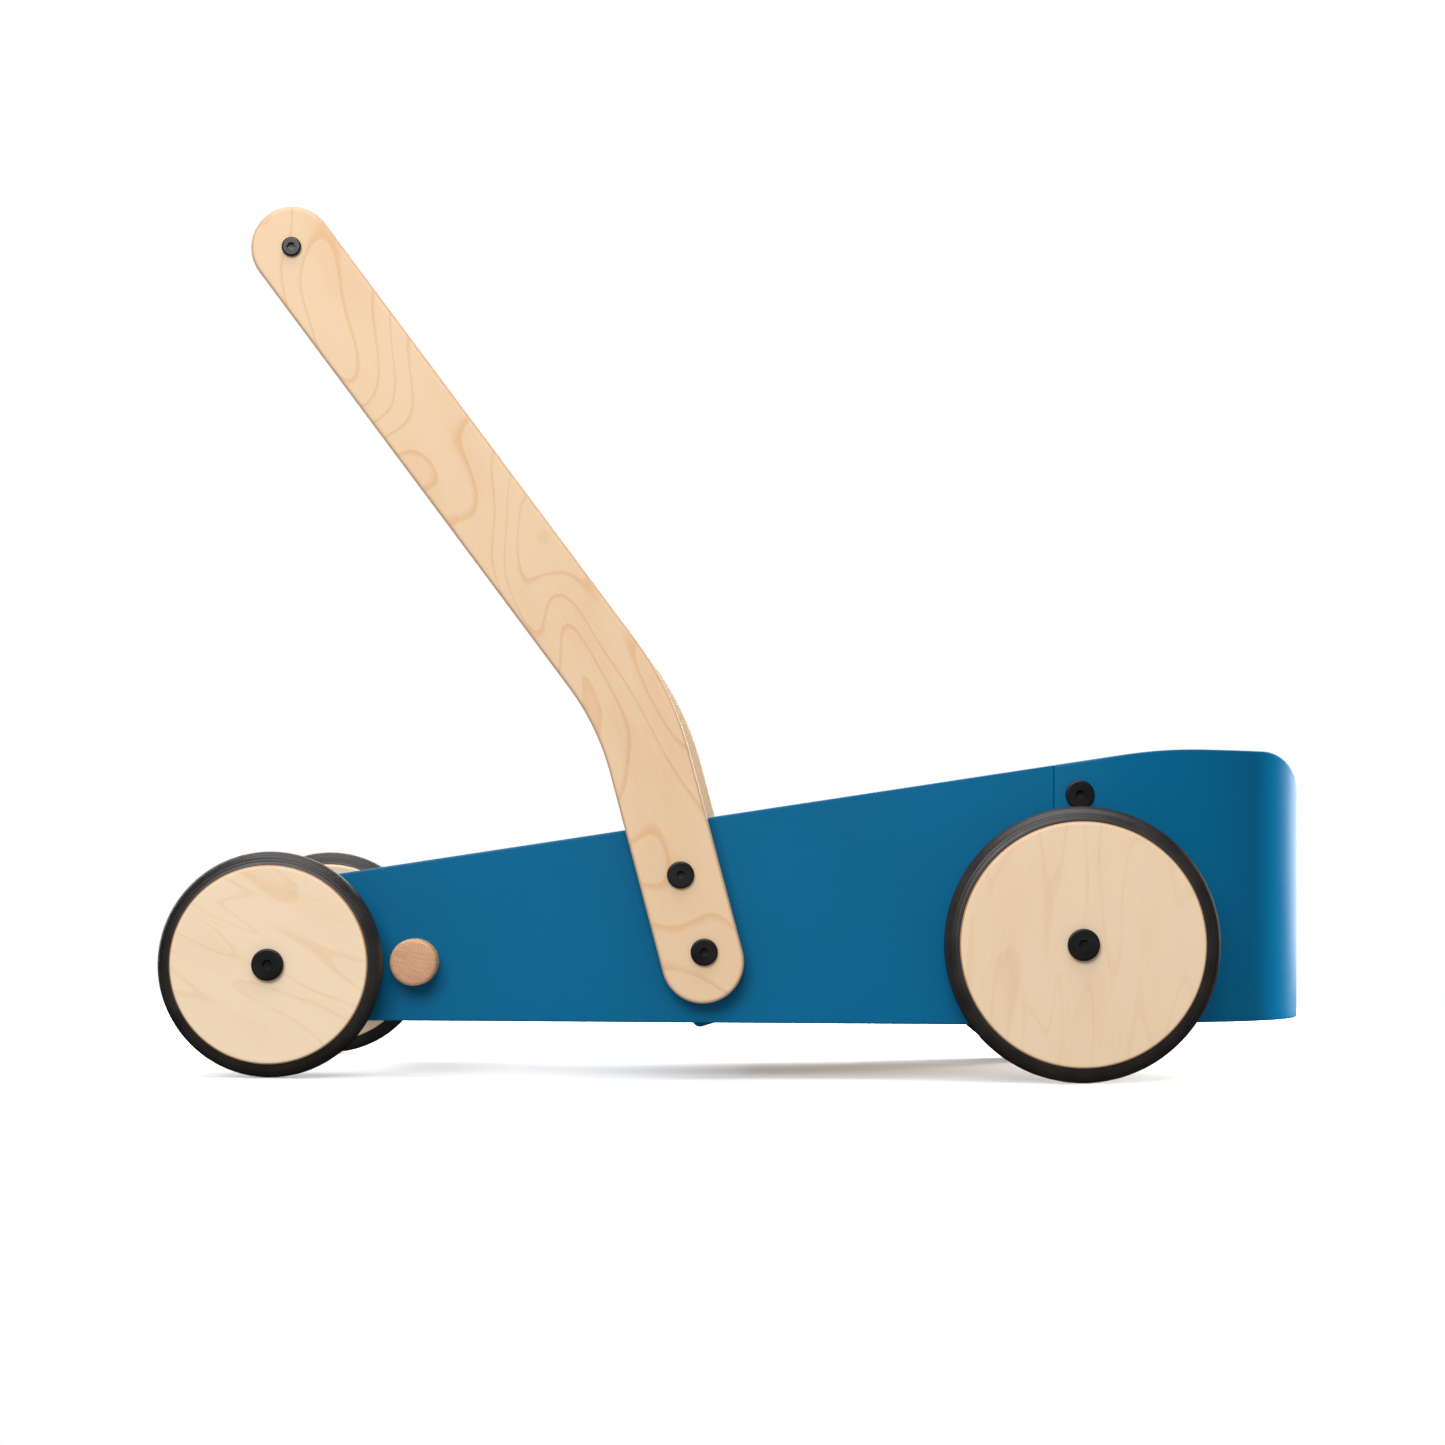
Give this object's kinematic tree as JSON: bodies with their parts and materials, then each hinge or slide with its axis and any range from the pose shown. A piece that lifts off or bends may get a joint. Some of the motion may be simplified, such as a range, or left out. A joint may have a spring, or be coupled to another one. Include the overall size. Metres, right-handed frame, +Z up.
{
  "type": "push along truck",
  "caption": "Wooden push cart with a load box, a bent plywood nose, two bent handle arms and rubber-tyred wheels.",
  "frame": {"origin": "on the ground, under the middle of the truck's length and width", "axes": "+X forward to the nose, +Y to the left-hand side, +Z up"},
  "size_m": [0.6228, 0.307, 0.4672],
  "materials": {
    "painted_plywood": "satin blue lacquer on birch plywood",
    "birch_plywood": "birch plywood, clear matt lacquer",
    "birch_dowel": "turned birch, clear matt lacquer",
    "beech_dowel": "turned beech, clear matt lacquer",
    "tyre_rubber": "moulded rubber ring, satin",
    "black_steel": "black coated steel, satin",
    "nylon": "moulded nylon",
    "zinc_steel": "zinc plated steel"
  },
  "bodies": {
    "truck_body": {"arm_backing_left": "painted_plywood", "arm_backing_right": "painted_plywood", "arm_bolts": "black_steel", "arm_inserts": "zinc_steel", "bar_bolts": "black_steel", "bar_inserts": "zinc_steel", "cross_rod": "beech_dowel", "floor_board": "birch_plywood", "floor_rail_left": "painted_plywood", "floor_rail_right": "painted_plywood", "floor_screws": "zinc_steel", "front_axle_block_left": "painted_plywood", "front_axle_block_right": "painted_plywood", "handle_arm_left": "birch_plywood", "handle_arm_right": "birch_plywood", "handle_bar": "birch_dowel", "nose_bolts": "black_steel", "nose_inserts": "zinc_steel", "nose_panel": "painted_plywood", "rear_axle_block_left": "painted_plywood", "rear_axle_block_right": "painted_plywood", "side_panel_left": "painted_plywood", "side_panel_right": "painted_plywood", "tail_board": "painted_plywood", "wheel_bolts": "black_steel", "wheel_inserts": "zinc_steel", "wheel_spacers": "zinc_steel"},
    "rear_wheel_right": {"rear_wheel_disc_right": "birch_plywood", "rear_tyre_right": "tyre_rubber", "rear_hub_bush_right": "nylon"},
    "rear_wheel_left": {"rear_wheel_disc_left": "birch_plywood", "rear_tyre_left": "tyre_rubber", "rear_hub_bush_left": "nylon"},
    "front_wheel_right": {"front_wheel_disc_right": "birch_plywood", "front_tyre_right": "tyre_rubber", "front_hub_bush_right": "nylon"},
    "front_wheel_left": {"front_wheel_disc_left": "birch_plywood", "front_tyre_left": "tyre_rubber", "front_hub_bush_left": "nylon"}
  },
  "joints": [
    {"name": "rear_wheel_right_turn", "type": "hinge", "parent": "truck_body", "child": "rear_wheel_right", "pos_m": [-0.2512, -0.14, 0.0602], "axis": [0, 1, 0], "continuous": true},
    {"name": "rear_wheel_left_turn", "type": "hinge", "parent": "truck_body", "child": "rear_wheel_left", "pos_m": [-0.2512, 0.14, 0.0602], "axis": [0, 1, 0], "continuous": true},
    {"name": "front_wheel_right_turn", "type": "hinge", "parent": "truck_body", "child": "front_wheel_right", "pos_m": [0.1813, -0.14, 0.0735], "axis": [0, 1, 0], "continuous": true},
    {"name": "front_wheel_left_turn", "type": "hinge", "parent": "truck_body", "child": "front_wheel_left", "pos_m": [0.1813, 0.14, 0.0735], "axis": [0, 1, 0], "continuous": true}
  ]
}
